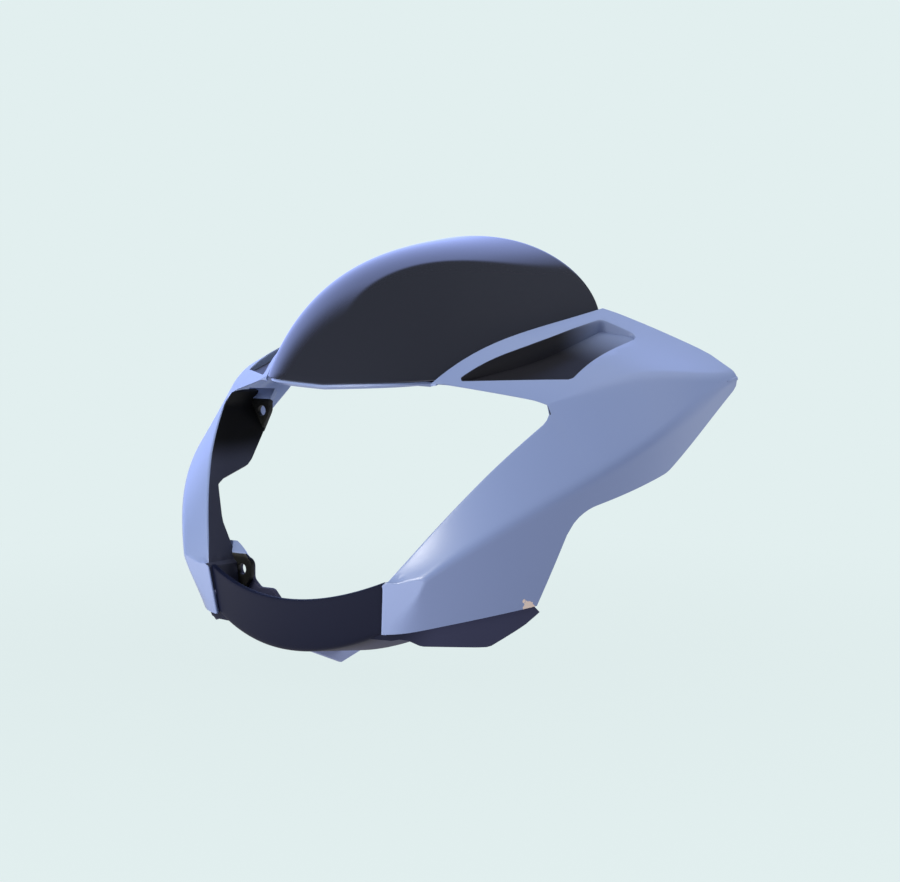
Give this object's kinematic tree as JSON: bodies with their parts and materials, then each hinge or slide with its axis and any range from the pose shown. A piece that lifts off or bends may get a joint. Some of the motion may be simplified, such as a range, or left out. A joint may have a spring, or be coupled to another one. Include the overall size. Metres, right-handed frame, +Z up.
{
  "type": "headlight cowl",
  "caption": "Motorbike headlight cowl: angular painted shell around a lamp opening, swept side wings with scoop recesses, dark domed visor above and a black chin cover below.",
  "frame": {"origin": "midway between the two upper lamp bolt holes, in the front plane of their tabs", "axes": "+X across the bike towards its left side, +Y rearward, +Z up"},
  "size_m": [0.3322, 0.2084, 0.2425],
  "materials": {
    "shell_paint": "blue painted moulding",
    "visor_gloss": "gloss dark moulding",
    "screw_steel": "zinc plated",
    "chin_black": "satin black moulding"
  },
  "bodies": {
    "root": {"cowl_shell": "shell_paint", "visor": "visor_gloss", "visor_screws": "screw_steel", "chin_cover": "chin_black"}
  },
  "joints": []
}
